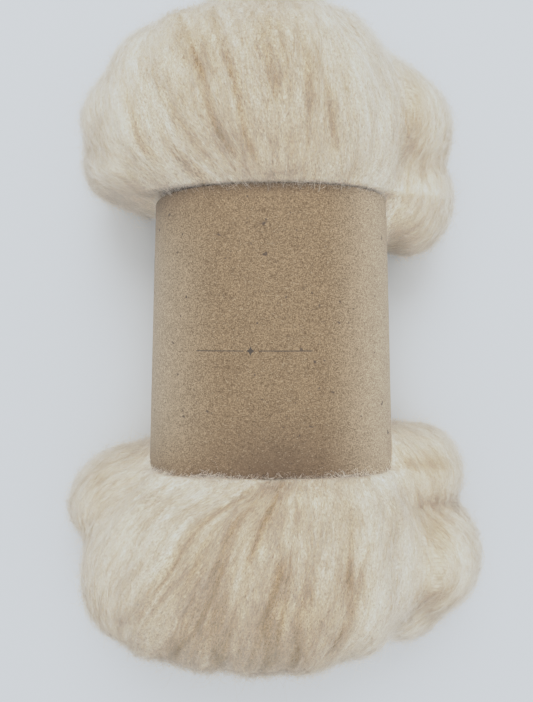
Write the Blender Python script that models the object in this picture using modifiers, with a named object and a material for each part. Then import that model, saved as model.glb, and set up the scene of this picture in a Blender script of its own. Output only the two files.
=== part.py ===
"""Hank of undyed wool roving, wound into soft loops and held round its waist by a kraft paper band.

Blender 4.5, metres, +Z up. The hank lies on its back on the floor plane z = 0, its long axis along Y.
Tables are in millimetres, measured from the middle of the band and up from the floor.
"""

import math
from collections import namedtuple

import bmesh
import bpy
from mathutils import Vector

MM = 0.001

# Paper band: a strip of card wrapped round the waist, its two ends glued in a lap underneath
BAND_STRIP_LENGTH = 0.2794
BAND_WIDTH = 0.108
BAND_LAP = 0.0104
BAND_THICKNESS = 0.001
BAND_GIRTH = BAND_STRIP_LENGTH - BAND_LAP
BAND_HALF_SPAN_UPPER = 0.0461
BAND_HALF_SPAN_LOWER = 0.0491
BAND_SQUARENESS = 2.25
BAND_AXIS_HEIGHT = 0.043
BAND_SEGMENTS = 72
BAND_ROWS = 6
LAP_GAP = 0.0003
LAP_RAMP = 0.008

# Wool
WOOL_CLEARANCE = 0.0004
EDGE_CLEARANCE = 0.0006
WOOL_SEGMENTS = 72
WOOL_ROWS_PER_END = 22
WAIST_ROWS = 4
WOOL_SQUARENESS = 2.15
FURROW_FADE = 8
SOFTEN_FROM = 0.003
SOFTEN_ROUNDS = 2
PUFF_SEGMENTS = 22
PUFF_RINGS = 12

COLOURS = {
    "cream_wool": ((0.76, 0.70, 0.59, 1.0), 0.95),
    "kraft_paper": ((0.38, 0.29, 0.20, 1.0), 0.85),
}

# One row for each cross-section of an end: how far it is out from the band's edge, how far the wool
# reaches to the left and right of the middle, and the heights of its crown and belly
Section = namedtuple("Section", "out left right crown belly")

UPPER_END = [
    Section(out=8, left=57, right=50, crown=86, belly=1),
    Section(out=18, left=71, right=52, crown=90.5, belly=-2),
    Section(out=30, left=76, right=53, crown=92, belly=-3.5),
    Section(out=44, left=70, right=51.5, crown=90, belly=-3),
    Section(out=58, left=61.5, right=47, crown=83, belly=1),
    Section(out=66, left=53, right=41, crown=74.5, belly=8),
    Section(out=73, left=42, right=33, crown=64, belly=18),
    Section(out=78.5, left=27, right=23, crown=53.5, belly=29),
    Section(out=82, left=0, right=0, crown=42, belly=42),
]
LOWER_END = [
    Section(out=8, left=58, right=53.5, crown=83.5, belly=2),
    Section(out=18, left=69, right=58, crown=88, belly=-1.5),
    Section(out=30, left=74.5, right=60.5, crown=90.5, belly=-3.5),
    Section(out=44, left=76, right=61, crown=90.5, belly=-3.5),
    Section(out=58, left=74, right=57.5, crown=86, belly=-2),
    Section(out=68, left=67.5, right=49, crown=78.5, belly=3),
    Section(out=76, left=57, right=37, crown=67.5, belly=11),
    Section(out=82.5, left=38, right=22, crown=53.5, belly=22),
    Section(out=86, left=0, right=0, crown=38, belly=38),
]

# One row for each furrow between two turns of the roving. near and far are its places across the
# hank at the band and at the fold, as shares of the half width; over and under are its depths on
# the crown and the belly; it fades in from begin and out past end, both measured out from the band
Furrow = namedtuple("Furrow", "near far width over under begin end")

UPPER_FURROWS = [
    Furrow(near=-0.86, far=-0.84, width=6, over=2.6, under=3.2, begin=0, end=74),
    Furrow(near=-0.56, far=-0.62, width=6, over=3.2, under=2.8, begin=2, end=90),
    Furrow(near=-0.30, far=-0.40, width=6, over=3.4, under=3.2, begin=4, end=90),
    Furrow(near=-0.10, far=-0.18, width=6, over=3.0, under=2.0, begin=2, end=72),
    Furrow(near=0.16, far=0.10, width=7, over=2.2, under=3.2, begin=10, end=90),
    Furrow(near=0.48, far=0.46, width=6, over=2.8, under=3.0, begin=4, end=90),
    Furrow(near=0.76, far=0.80, width=6, over=3.0, under=2.6, begin=0, end=74),
]
LOWER_FURROWS = [
    Furrow(near=-0.70, far=-0.82, width=6, over=3.0, under=3.0, begin=0, end=76),
    Furrow(near=-0.14, far=-0.56, width=6, over=4.6, under=3.2, begin=2, end=94),
    Furrow(near=0.03, far=-0.24, width=6, over=3.6, under=3.0, begin=-4, end=94),
    Furrow(near=0.24, far=0.08, width=6, over=2.2, under=2.8, begin=20, end=94),
    Furrow(near=0.50, far=0.44, width=6, over=3.6, under=3.0, begin=8, end=94),
    Furrow(near=0.80, far=0.82, width=6, over=3.0, under=3.0, begin=4, end=70),
]

# One row for each loop of roving that slips out sideways under the hank beside the band
Puff = namedtuple("Puff", "x y z length width height turn pinch")

PUFFS = [
    Puff(x=47, y=88, z=31, length=30, width=24, height=33, turn=-38, pinch=0.06),
    Puff(x=53, y=55, z=28, length=23, width=23, height=30, turn=-12, pinch=0.14),
    Puff(x=-51, y=71, z=30, length=26.5, width=24.5, height=31, turn=20, pinch=0.06),
    Puff(x=58, y=-57, z=28, length=22.5, width=20, height=30, turn=-4, pinch=0.12),
    Puff(x=60, y=-92, z=30, length=28, width=27, height=33, turn=-14, pinch=0.08),
    Puff(x=48, y=-108, z=26, length=27, width=21, height=27, turn=-28, pinch=0.08),
    Puff(x=-56, y=-64, z=29, length=31.5, width=20.5, height=31, turn=30, pinch=0.10),
]


def clear_scene():
    for obj in list(bpy.data.objects):
        bpy.data.objects.remove(obj, do_unlink=True)


def material(name):
    colour, roughness = COLOURS[name]
    made = bpy.data.materials.new(name)
    made.use_nodes = True
    shader = made.node_tree.nodes["Principled BSDF"]
    shader.inputs["Base Color"].default_value = colour
    shader.inputs["Roughness"].default_value = roughness
    shader.inputs["Metallic"].default_value = 0.0
    return made


def collection(name):
    made = bpy.data.collections.new(name)
    bpy.context.scene.collection.children.link(made)
    return made


def object_from(bm, name, where):
    mesh = bpy.data.meshes.new(name)
    bm.to_mesh(mesh)
    bm.free()
    obj = bpy.data.objects.new(name, mesh)
    where.objects.link(obj)
    return obj


def make_helper(obj):
    obj.hide_render = True
    obj.display_type = "WIRE"


def smoothstep(t):
    t = min(max(t, 0.0), 1.0)
    return t * t * (3 - 2 * t)


def mix(a, b, t):
    return a + (b - a) * t


def superellipse(angle, half_x, half_z, squareness):
    """A point on a rounded oval whose corners fill out as squareness passes 2."""
    c, s = math.cos(angle), math.sin(angle)
    power = 2 / squareness
    x = math.copysign(abs(c) ** power, c) * half_x
    z = math.copysign(abs(s) ** power, s) * half_z
    return x, z


def girth_of(half_x, half_z, steps=360):
    points = [
        superellipse(2 * math.pi * i / steps, half_x, half_z, BAND_SQUARENESS)
        for i in range(steps)
    ]
    return sum(math.dist(points[i - 1], points[i]) for i in range(steps))


def half_height_for(half_x, girth):
    """The half height that gives an oval of this half width the paper's girth."""
    low, high = 0.2 * half_x, 2 * half_x
    for _ in range(40):
        middle = (low + high) / 2
        if girth_of(half_x, middle) < girth:
            low = middle
        else:
            high = middle
    return (low + high) / 2


def band_halves(y):
    """Half width and half height of the band's outer face: one girth, pressed flatter lower down."""
    upper = half_height_for(BAND_HALF_SPAN_UPPER, BAND_GIRTH)
    lower = half_height_for(BAND_HALF_SPAN_LOWER, BAND_GIRTH)
    share = 0.5 + y / BAND_WIDTH
    return (
        mix(BAND_HALF_SPAN_LOWER, BAND_HALF_SPAN_UPPER, share),
        mix(lower, upper, share),
    )


def waist_section(y, inset):
    """Half width and half height of the band's outline at y, brought in by inset."""
    half_x, half_z = band_halves(y)
    return half_x - inset, half_z - inset


def slopes_of(places, values):
    """Slopes for a curve through the values that never overshoots them."""
    steps = [(values[i + 1] - values[i]) / (places[i + 1] - places[i]) for i in range(len(places) - 1)]
    inner = []
    for before, after in zip(steps, steps[1:]):
        inner.append(0.0 if before * after <= 0 else 2 * before * after / (before + after))
    return [steps[0], *inner, steps[-1]]


def curve_through(places, values, at):
    """The value at one place of the smooth curve through places and values."""
    slopes = slopes_of(places, values)
    i = max(k for k in range(len(places) - 1) if places[k] <= at or k == 0)
    gap = places[i + 1] - places[i]
    t = min(max((at - places[i]) / gap, 0.0), 1.0)
    start = (1 + 2 * t) * (1 - t) ** 2 * values[i] + t * (1 - t) ** 2 * gap * slopes[i]
    finish = t * t * (3 - 2 * t) * values[i + 1] + t * t * (t - 1) * gap * slopes[i + 1]
    return start + finish


def with_waist(sections, edge_y):
    """The sections of an end, begun by the one that fills the band at its edge."""
    half_x, half_z = waist_section(edge_y, BAND_THICKNESS + WOOL_CLEARANCE)
    first = Section(
        out=EDGE_CLEARANCE / MM,
        left=half_x / MM,
        right=half_x / MM,
        crown=(BAND_AXIS_HEIGHT + half_z) / MM,
        belly=(BAND_AXIS_HEIGHT - half_z) / MM,
    )
    return [first, *sections]


def section_at(sections, out):
    places = [s.out for s in sections]
    columns = (curve_through(places, [getattr(s, name) for s in sections], out) for name in Section._fields[1:])
    return Section(out, *columns)


def lane_width(sections, out, side):
    """Half width that the turns fan out over: it grows to the widest section and then stays."""
    widest = max(sections, key=lambda s: getattr(s, side))
    return getattr(section_at(sections, min(out, widest.out)), side)


def furrow_depth(furrows, sections, out, x, over):
    """How far the furrows lower the wool at a place across the hank. over is 1 on its crown, 0 below."""
    along = smoothstep(out / sections[-1].out)
    depth = 0.0
    for furrow in furrows:
        share = mix(furrow.near, furrow.far, along)
        side = "left" if share < 0 else "right"
        middle = share * lane_width(sections, out, side)
        fade = smoothstep((out - furrow.begin) / FURROW_FADE)
        fade *= 1 - smoothstep((out - furrow.end) / FURROW_FADE)
        deepest = mix(furrow.under, furrow.over, over)
        depth += deepest * fade * math.exp(-(((x - middle) / furrow.width) ** 2))
    return depth


def end_ring(section, y):
    """One cross-section of an end as points."""
    half_height = (section.crown - section.belly) / 2
    middle_z = (section.crown + section.belly) / 2
    ring = []
    for i in range(WOOL_SEGMENTS):
        angle = 2 * math.pi * i / WOOL_SEGMENTS
        reach = section.right if math.cos(angle) > 0 else section.left
        x, z = superellipse(angle, reach, half_height, WOOL_SQUARENESS)
        ring.append(Vector((x * MM, y, (middle_z + z) * MM)))
    return ring


def end_rings(sections, toward):
    """The rings of one end, from the band's edge to its fold, closer together where it rounds off."""
    edge_y = toward * BAND_WIDTH / 2
    first, last = sections[0].out, sections[-1].out
    rings = []
    for row in range(WOOL_ROWS_PER_END):
        share = row / WOOL_ROWS_PER_END
        out = mix(first, last, math.sin(share * math.pi / 2))
        rings.append(end_ring(section_at(sections, out), edge_y + toward * out * MM))
    tip = Vector((0.0, edge_y + toward * last * MM, sections[-1].crown * MM))
    return rings, tip


def press_furrows(bm, sections, furrows, toward):
    """Presses the furrows into one end, square to its surface, so that they run on over the fold."""
    bm.normal_update()
    moves = []
    for vert in bm.verts:
        out = (vert.co.y * toward - BAND_WIDTH / 2) / MM
        if out < 0:
            continue
        over = smoothstep(0.5 + vert.normal.z)
        depth = furrow_depth(furrows, sections, out, vert.co.x / MM, over)
        moves.append((vert, vert.normal * depth * MM))
    for vert, move in moves:
        vert.co -= move


def soften_ends(bm):
    """Rounds the wool's forms beyond the band, where it isn't held."""
    free = [vert for vert in bm.verts if abs(vert.co.y) > BAND_WIDTH / 2 + SOFTEN_FROM]
    for _ in range(SOFTEN_ROUNDS):
        bmesh.ops.smooth_vert(bm, verts=free, factor=0.5, use_axis_x=True, use_axis_y=True, use_axis_z=True)


def settle_on_floor(bm):
    """Wool that would hang below the floor lies flat on it."""
    for vert in bm.verts:
        vert.co.z = max(vert.co.z, 0.0)


def waist_rings():
    """The rings inside the band, from its lower edge to its upper one."""
    rings = []
    for row in range(WAIST_ROWS + 1):
        y = mix(-BAND_WIDTH / 2, BAND_WIDTH / 2, row / WAIST_ROWS)
        half_x, half_z = waist_section(y, BAND_THICKNESS + WOOL_CLEARANCE)
        ring = []
        for i in range(WOOL_SEGMENTS):
            x, z = superellipse(2 * math.pi * i / WOOL_SEGMENTS, half_x, half_z, BAND_SQUARENESS)
            ring.append(Vector((x, y, BAND_AXIS_HEIGHT + z)))
        rings.append(ring)
    return rings


def loft(rings, first_tip, last_tip):
    """A closed skin through the rings, drawn together to a point at each end."""
    bm = bmesh.new()
    rows = [[bm.verts.new(point) for point in ring] for ring in rings]
    count = len(rows[0])
    for near, far in zip(rows, rows[1:]):
        for i in range(count):
            j = (i + 1) % count
            bm.faces.new((near[i], far[i], far[j], near[j]))
    for tip, row in ((first_tip, rows[0]), (last_tip, rows[-1])):
        end = bm.verts.new(tip)
        for i in range(count):
            bm.faces.new((end, row[i], row[(i + 1) % count]))
    bmesh.ops.recalc_face_normals(bm, faces=bm.faces)
    return bm


def build_wound_wool(where):
    """The hank's main body: a waist inside the band and a full fold of loops at each end."""
    upper_sections = with_waist(UPPER_END, BAND_WIDTH / 2)
    lower_sections = with_waist(LOWER_END, -BAND_WIDTH / 2)
    upper, upper_tip = end_rings(upper_sections, 1)
    lower, lower_tip = end_rings(lower_sections, -1)
    bm = loft([*reversed(lower), *waist_rings(), *upper], lower_tip, upper_tip)
    press_furrows(bm, upper_sections, UPPER_FURROWS, 1)
    press_furrows(bm, lower_sections, LOWER_FURROWS, -1)
    soften_ends(bm)
    settle_on_floor(bm)
    return object_from(bm, "roving_hank", where)


def build_puff(row, name, where):
    """A side loop: an oval bolster, pinched across its middle and flat on the floor."""
    bm = bmesh.new()
    bmesh.ops.create_uvsphere(bm, u_segments=PUFF_SEGMENTS, v_segments=PUFF_RINGS, radius=1.0)
    turn = math.radians(row.turn)
    for vert in bm.verts:
        x, y, z = vert.co
        waist = 1 - row.pinch * math.exp(-((x / 0.35) ** 2))
        along, across, up = x * row.length, y * row.width * waist, z * row.height * waist
        vert.co = Vector(
            (
                row.x + along * math.cos(turn) - across * math.sin(turn),
                row.y + along * math.sin(turn) + across * math.cos(turn),
                max(row.z + up, 0.0),
            )
        ) * MM
    puff = object_from(bm, name, where)
    make_helper(puff)
    return puff


def build_band_room(where):
    """Solid round the band and all inside it, with a little clearance: no side loop enters it."""
    reach = BAND_WIDTH / 2 + EDGE_CLEARANCE
    rings = []
    for y in (-reach, reach):
        half_x, half_z = waist_section(max(min(y, BAND_WIDTH / 2), -BAND_WIDTH / 2), -2 * WOOL_CLEARANCE)
        half_z += BAND_THICKNESS + LAP_GAP
        points = (
            superellipse(2 * math.pi * i / WOOL_SEGMENTS, half_x, half_z, BAND_SQUARENESS)
            for i in range(WOOL_SEGMENTS)
        )
        rings.append([Vector((x, y, BAND_AXIS_HEIGHT + z)) for x, z in points])
    middle = Vector((0.0, 0.0, BAND_AXIS_HEIGHT))
    bm = loft(rings, middle - Vector((0, reach, 0)), middle + Vector((0, reach, 0)))
    room = object_from(bm, "band_room", where)
    make_helper(room)
    return room


def add_boolean(obj, other, operation):
    modifier = obj.modifiers.new(other.name, "BOOLEAN")
    modifier.operation = operation
    modifier.solver = "EXACT"
    modifier.object = other


def build_hank(where, helpers):
    """The whole hank as one solid: the wound body with its side loops grown together with it."""
    hank = build_wound_wool(where)
    room = build_band_room(helpers)
    for number, row in enumerate(PUFFS, 1):
        puff = build_puff(row, f"side_loop_{number}", helpers)
        add_boolean(puff, room, "DIFFERENCE")
        add_boolean(hank, puff, "UNION")
    hank.data.materials.append(material("cream_wool"))
    return hank


def band_point(turn, y):
    """A point of the strip's outer face. turn runs from 0 to 1 round the waist and past 1 in the lap."""
    half_x, half_z = band_halves(y)
    lift = (BAND_THICKNESS + LAP_GAP) * smoothstep((turn - 1) * BAND_GIRTH / LAP_RAMP + 1)
    angle = -math.pi / 2 + 2 * math.pi * turn
    x, z = superellipse(angle, half_x + lift, half_z + lift, BAND_SQUARENESS)
    return Vector((x, y, BAND_AXIS_HEIGHT + z))


def build_band(where):
    """The paper strip, wrapped once round and lapped over its own end underneath the waist."""
    bm = bmesh.new()
    turns = 1 + BAND_LAP / BAND_GIRTH
    rows = []
    for row in range(BAND_ROWS + 1):
        y = mix(-BAND_WIDTH / 2, BAND_WIDTH / 2, row / BAND_ROWS)
        steps = (turns * i / BAND_SEGMENTS for i in range(BAND_SEGMENTS + 1))
        rows.append([bm.verts.new(band_point(turn, y)) for turn in steps])
    for near, far in zip(rows, rows[1:]):
        for i in range(BAND_SEGMENTS):
            bm.faces.new((near[i], near[i + 1], far[i + 1], far[i]))
    band = object_from(bm, "paper_band", where)
    sheet = band.modifiers.new("card", "SOLIDIFY")
    sheet.thickness = BAND_THICKNESS
    sheet.offset = 1.0
    band.data.materials.append(material("kraft_paper"))
    return band


def box_of(objects):
    graph = bpy.context.evaluated_depsgraph_get()
    corners = []
    for obj in objects:
        shown = obj.evaluated_get(graph)
        corners += [shown.matrix_world @ vert.co for vert in shown.data.vertices]
    low = Vector(min(c[k] for c in corners) for k in range(3))
    high = Vector(max(c[k] for c in corners) for k in range(3))
    return low, high


def centre_over_origin(objects, shown):
    """Moves everything so that the origin is the middle of the footprint, on the floor."""
    low, high = box_of(shown)
    middle = (low + high) / 2
    for obj in objects:
        obj.location -= Vector((middle.x, middle.y, low.z))


def main():
    clear_scene()
    parts = collection("wool_roving")
    helpers = collection("helpers")
    hank = build_hank(parts, helpers)
    band = build_band(parts)
    centre_over_origin([*parts.objects, *helpers.objects], [hank, band])
    for obj in (hank, band):
        obj.data.shade_smooth()
        obj.data.set_sharp_from_angle(angle=math.radians(50))


main()
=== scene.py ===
import math

import bpy
import numpy as np
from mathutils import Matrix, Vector
from mathutils.bvhtree import BVHTree


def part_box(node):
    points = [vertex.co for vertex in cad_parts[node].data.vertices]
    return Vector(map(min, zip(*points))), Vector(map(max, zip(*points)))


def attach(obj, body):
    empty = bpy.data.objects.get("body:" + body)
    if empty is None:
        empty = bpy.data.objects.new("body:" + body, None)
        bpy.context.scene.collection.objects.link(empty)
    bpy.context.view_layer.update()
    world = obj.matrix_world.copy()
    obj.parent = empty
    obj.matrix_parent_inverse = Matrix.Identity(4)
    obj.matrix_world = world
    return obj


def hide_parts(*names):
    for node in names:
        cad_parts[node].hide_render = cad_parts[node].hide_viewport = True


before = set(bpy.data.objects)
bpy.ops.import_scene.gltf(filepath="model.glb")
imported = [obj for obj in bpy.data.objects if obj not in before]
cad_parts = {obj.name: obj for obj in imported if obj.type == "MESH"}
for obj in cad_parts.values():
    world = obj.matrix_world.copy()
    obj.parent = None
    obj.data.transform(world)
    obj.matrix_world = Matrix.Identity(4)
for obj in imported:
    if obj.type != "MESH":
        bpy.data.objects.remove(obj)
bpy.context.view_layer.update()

mm = 0.001

# The band's middle is the centre that the lanes, the camera and the print are measured from
bandLow, bandHigh = (np.array(corner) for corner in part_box("paper_band"))
middle = np.array([(bandLow[0] + bandHigh[0]) / 2, (bandLow[1] + bandHigh[1]) / 2, 0.0])
bandHalf = (bandHigh[1] - bandLow[1]) / 2


def srgb(code):
    # a hex colour as the eye reads it, turned to the linear values that the shaders use
    parts = [int(code[i:i + 2], 16) / 255 for i in (1, 3, 5)]
    return (*[p / 12.92 if p <= 0.04045 else ((p + 0.055) / 1.055) ** 2.4 for p in parts], 1.0)


def startMaterial(name, settings):
    material = bpy.data.materials.new(name)
    material.use_nodes = True
    tree = material.node_tree
    shader = tree.nodes["Principled BSDF"]
    for key, value in settings.items():
        shader.inputs[key].default_value = value
    return material, tree, shader


def addNode(tree, kind, settings=None, links=None):
    # one node with its properties and socket values set, and its inputs linked; a node given as a
    # link stands for its first output
    node = tree.nodes.new("ShaderNode" + kind)
    for key, value in (settings or {}).items():
        if isinstance(key, int) or key in node.inputs:
            node.inputs[key].default_value = value
        else:
            setattr(node, key, value)
    for key, source in (links or {}).items():
        socket = source.outputs[0] if isinstance(source, bpy.types.Node) else source
        tree.links.new(socket, node.inputs[key])
    return node


def ease(t):
    t = np.clip(t, 0, 1)
    return t * t * (3 - 2 * t)


def ramp(value, start, span):
    # 0 before start, eased up to 1 over the span
    return ease((value - start) / span)


def linkObject(name, mesh):
    made = bpy.data.objects.new(name, mesh)
    bpy.context.scene.collection.objects.link(made)
    return made


def meshFrom(name, points, faces):
    # points and faces straight from arrays, which is quick for many thousands
    mesh = bpy.data.meshes.new(name)
    mesh.vertices.add(len(points))
    mesh.vertices.foreach_set("co", np.ascontiguousarray(points, np.float32).ravel())
    mesh.loops.add(faces.size)
    mesh.loops.foreach_set("vertex_index", np.ascontiguousarray(faces, np.int32).ravel())
    mesh.polygons.add(len(faces))
    starts = np.arange(0, faces.size, faces.shape[1], dtype=np.int32)
    mesh.polygons.foreach_set("loop_start", starts)
    mesh.update(calc_edges=True)
    return mesh


def pointsOf(mesh):
    flat = np.zeros(len(mesh.vertices) * 3, np.float32)
    mesh.vertices.foreach_get("co", flat)
    return flat.reshape(-1, 3).astype(float)


def normalsOf(mesh):
    flat = np.zeros(len(mesh.vertices) * 3, np.float32)
    mesh.vertex_normals.foreach_get("vector", flat)
    return flat.reshape(-1, 3).astype(float)


def mark(mesh, name, values):
    # a number or a vector at each point, for a material to read
    kind, field = ("FLOAT", "value") if values.ndim == 1 else ("FLOAT_VECTOR", "vector")
    attribute = mesh.attributes.new(name, kind, "POINT")
    attribute.data.foreach_set(field, values.astype(np.float32).ravel())


def unit(vectors):
    return vectors / np.maximum(np.linalg.norm(vectors, axis=-1, keepdims=True), 1e-9)


def localOf(places):
    # mm from the band's middle, and mm out along the hank from the band's nearer edge
    local = (places - middle) / mm
    return local, np.abs(local[:, 1]) - bandHalf / mm


def endsOf(local):
    return ("upper", local[:, 1] > 0), ("lower", local[:, 1] <= 0)


def smoothNoise(places, seed=0):
    # soft value noise from -1 to 1 at each place, one unit between its knots, whose values are
    # hashed from their whole coordinates by large primes
    base = np.floor(places).astype(np.int64)
    part = ease(places - base)
    total = np.zeros(len(places))
    for corner in range(8):
        step = np.array([corner & 1, corner >> 1 & 1, corner >> 2 & 1])
        knot = base + step
        mixed = (knot[:, 0] * 73856093) ^ (knot[:, 1] * 19349663)
        mixed ^= knot[:, 2] * 83492791 + seed * 40503
        mixed = ((mixed ^ (mixed >> 13)) * 1274126177) & 0xFFFFFFFF
        value = ((mixed ^ (mixed >> 16)) & 0xFFFF) / 65535
        total += np.prod(np.where(step == 1, part, 1 - part), axis=1) * value
    return total * 2 - 1


def runNoise(turn, out, height, across, along, up, seed):
    # noise drawn out along the turns: knots across a lane unit, mm along and mm up between knots
    return smoothNoise(np.stack([turn * across, out / along, height / up], axis=1), seed)


cameraSettings = {
    "lens": 39.9,  # mm on a 36 mm frame: a phone held close
    "height": 0.360,  # above the floor
    "aside": (-0.0018, 0.0004),  # from the band's middle
    "tilt": -1.4,  # degrees
    # what the phone makes of light: scene-linear in, scene-linear out. Whites flatten early, as in
    # the photograph, whose floor and paler wool stop short of full white
    "response": [(0.0, 0.012), (0.25, 0.175), (0.5, 0.345), (0.75, 0.50), (1.0, 0.595),
                 (1.25, 0.645), (2.0, 0.69)],
    "whiteTint": (-0.03, 0.0, 0.03),  # its whites lean to blue
    "tintFrom": 0.7,  # the level where that begins
    "tintSpan": 0.5,  # and over how much it grows
}


def placeCamera():
    data = bpy.data.cameras.new("phone")
    data.lens = cameraSettings["lens"]
    data.sensor_width = 36
    camera = linkObject("phone", data)
    x, y = cameraSettings["aside"]
    camera.location = (middle[0] + x, middle[1] + y, cameraSettings["height"])
    camera.rotation_euler = (math.radians(cameraSettings["tilt"]), 0, 0)
    bpy.context.scene.camera = camera
    view = bpy.context.scene.view_settings
    view.view_transform = "Standard"
    view.use_curve_mapping = True
    mapping = view.curve_mapping
    top = cameraSettings["response"][-1][0]
    mapping.white_level = (top, top, top)
    mapping.extend = "HORIZONTAL"
    for channel, tint in enumerate(cameraSettings["whiteTint"]):
        curve = mapping.curves[channel]
        for level, shown in cameraSettings["response"]:
            lean = (level - cameraSettings["tintFrom"]) / cameraSettings["tintSpan"]
            place = (level / top, shown * (1 + tint * min(max(lean, 0), 1)))
            if level in (0, top):
                curve.points[0 if level == 0 else -1].location = place
            else:
                curve.points.new(*place)
    mapping.update()


laneWidth = 50  # mm that one unit of turn takes across the hank on average, and up its flanks

# Where the same turns of roving lie across the hank, in mm from its middle, at growing distances
# out from the band in mm. Turn 0 runs near the middle, and -1 and 1 on the flanks
lanes = {
    "turn": [-1, -0.75, -0.5, -0.22, 0, 0.2, 0.34, 0.55, 0.8, 1],
    "out": [-20, 0, 14, 30, 48, 66, 84],
    "upper": [
        [-48, -36, -15, -6.5, -3, 5, 11, 24, 36, 46],
        [-48, -36, -15, -6.5, -3, 5, 11, 24, 36, 46],
        [-66, -47, -27.5, -16, -8.6, 4.5, 12.8, 22.3, 43, 51],
        [-76, -51, -36.7, -23.2, -12.8, 3.5, 13.6, 20, 42, 53],
        [-68, -53, -43, -28.8, -17.4, 0, 13, 18, 33.5, 50],
        [-54, -46, -41, -33.7, -21, -2, 10, 15, 22, 41],
        [-44, -40, -38, -36, -24, -4, 6, 12, 18, 30],
    ],
    "lower": [
        [-49, -25, -3, 0, 4, 8, 14, 27, 40, 49],
        [-49, -25, -3, 0, 4, 8, 14, 27, 40, 49],
        [-65, -46, -24, -11.5, -2.3, 6.5, 14, 29, 47, 56],
        [-74.5, -57, -35, -18.5, -10, 5, 13.5, 28, 43.5, 60.5],
        [-76, -64, -47, -25.6, -13, 0, 11.5, 26, 41, 60.5],
        [-69, -63, -54, -34, -17, -2, 9, 20, 33, 51],
        [-60, -57, -52, -40, -20, -4, 6, 14, 22, 34],
    ],
}


def lanePlaces(end, out):
    # where every turn lies at these distances, along a smooth curve through the table's rows
    rows = np.array(lanes[end], float)
    stops = np.array(lanes["out"], float)
    out = np.clip(out, stops[0], stops[-1] - 1e-6)
    k = np.clip(np.searchsorted(stops, out, side="right") - 1, 0, len(stops) - 2)
    slope = np.gradient(rows, stops, axis=0)
    span = (stops[k + 1] - stops[k])[:, None]
    t = ((out - stops[k]) / span[:, 0])[:, None]
    start, finish = rows[k], rows[k + 1]
    return ((2 * t ** 3 - 3 * t ** 2 + 1) * start + (t ** 3 - 2 * t ** 2 + t) * span * slope[k]
            + (3 * t ** 2 - 2 * t ** 3) * finish + (t ** 3 - t ** 2) * span * slope[k + 1])


def laneAt(places):
    # the turn of roving that each place lies on
    local, out = localOf(places)
    turn = np.array(lanes["turn"], float)
    result = np.zeros(len(places))
    for end, chosen in endsOf(local):
        at, across = lanePlaces(end, out[chosen]), local[chosen, 0]
        found = np.zeros(len(across))
        for k in range(len(turn) - 1):
            part = (across - at[:, k]) / (at[:, k + 1] - at[:, k])
            later = turn[k] + part * (turn[k + 1] - turn[k])
            found = later if k == 0 else np.where(across > at[:, k], later, found)
        result[chosen] = found
    return result


waist = {
    "halfWidth": 51,  # mm, past which a place is beside the sleeve and not in it
    # where the ends draw the sleeve in: side, and in mm its depth, reach, centre and half width
    "dips": [(-1, 4.2, 17, 4, 28), (1, 1.4, 8, -6, 32)],
    "dipFade": 7,  # mm out from the sleeve where the dip has ended
    "dipFrom": 58,  # mm above the floor where it begins, as it is only on the front
    "dipSpan": 14,
    "sideFrom": 44,  # mm from the middle where the side loops begin
    "sideSpan": 16,
}


def beyondBand(places):
    # mm outside the band's sleeve, along or to the side, and below zero within it
    local, out = localOf(places)
    return np.maximum(out, np.abs(local[:, 0]) - waist["halfWidth"])


def dipAt(places):
    # mm that the card and the wool under it sink where the two ends draw the sleeve in
    local = localOf(places)[0]
    dip = 0
    for side, depth, reach, centre, half in waist["dips"]:
        edge = bandHalf / mm - side * local[:, 1]
        fade = np.where(edge > 0, np.exp(-(edge / reach) ** 2), 1 - ease(-edge / waist["dipFade"]))
        dip = dip + depth * fade * np.exp(-((local[:, 0] - centre) / half) ** 2)
    return dip * ramp(local[:, 2], waist["dipFrom"], waist["dipSpan"])


def sideShare(places):
    # 1 on the side loops, and 0 on the front and back of the hank
    return ramp(np.abs(places[:, 0] - middle[0]) / mm, waist["sideFrom"], waist["sideSpan"])


def flankOf(lane):
    # 1 on the outermost turns, which run round the hank's sides
    return ramp(np.abs(lane), 0.8, 0.3)


def turnAt(places, lane):
    # the lane, and on the flanks how high the place lies, so that turns run on round the side
    height = places[:, 2] / mm - band["axisHeight"]
    return lane - flankOf(lane) * np.sign(lane) * height / laneWidth


def flowAt(places, normals):
    # the way that the fibres run, as unit vectors lying in the surface
    lane = laneAt(places)
    step = 0.5 * mm
    alongX = (laneAt(places + [step, 0, 0]) - laneAt(places - [step, 0, 0])) / (2 * step)
    alongY = (laneAt(places + [0, step, 0]) - laneAt(places - [0, step, 0])) / (2 * step)
    upward = -flankOf(lane) * np.sign(lane) / (laneWidth * mm)
    return unit(np.cross(normals, np.stack([alongX, alongY, upward], axis=1)))


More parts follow.
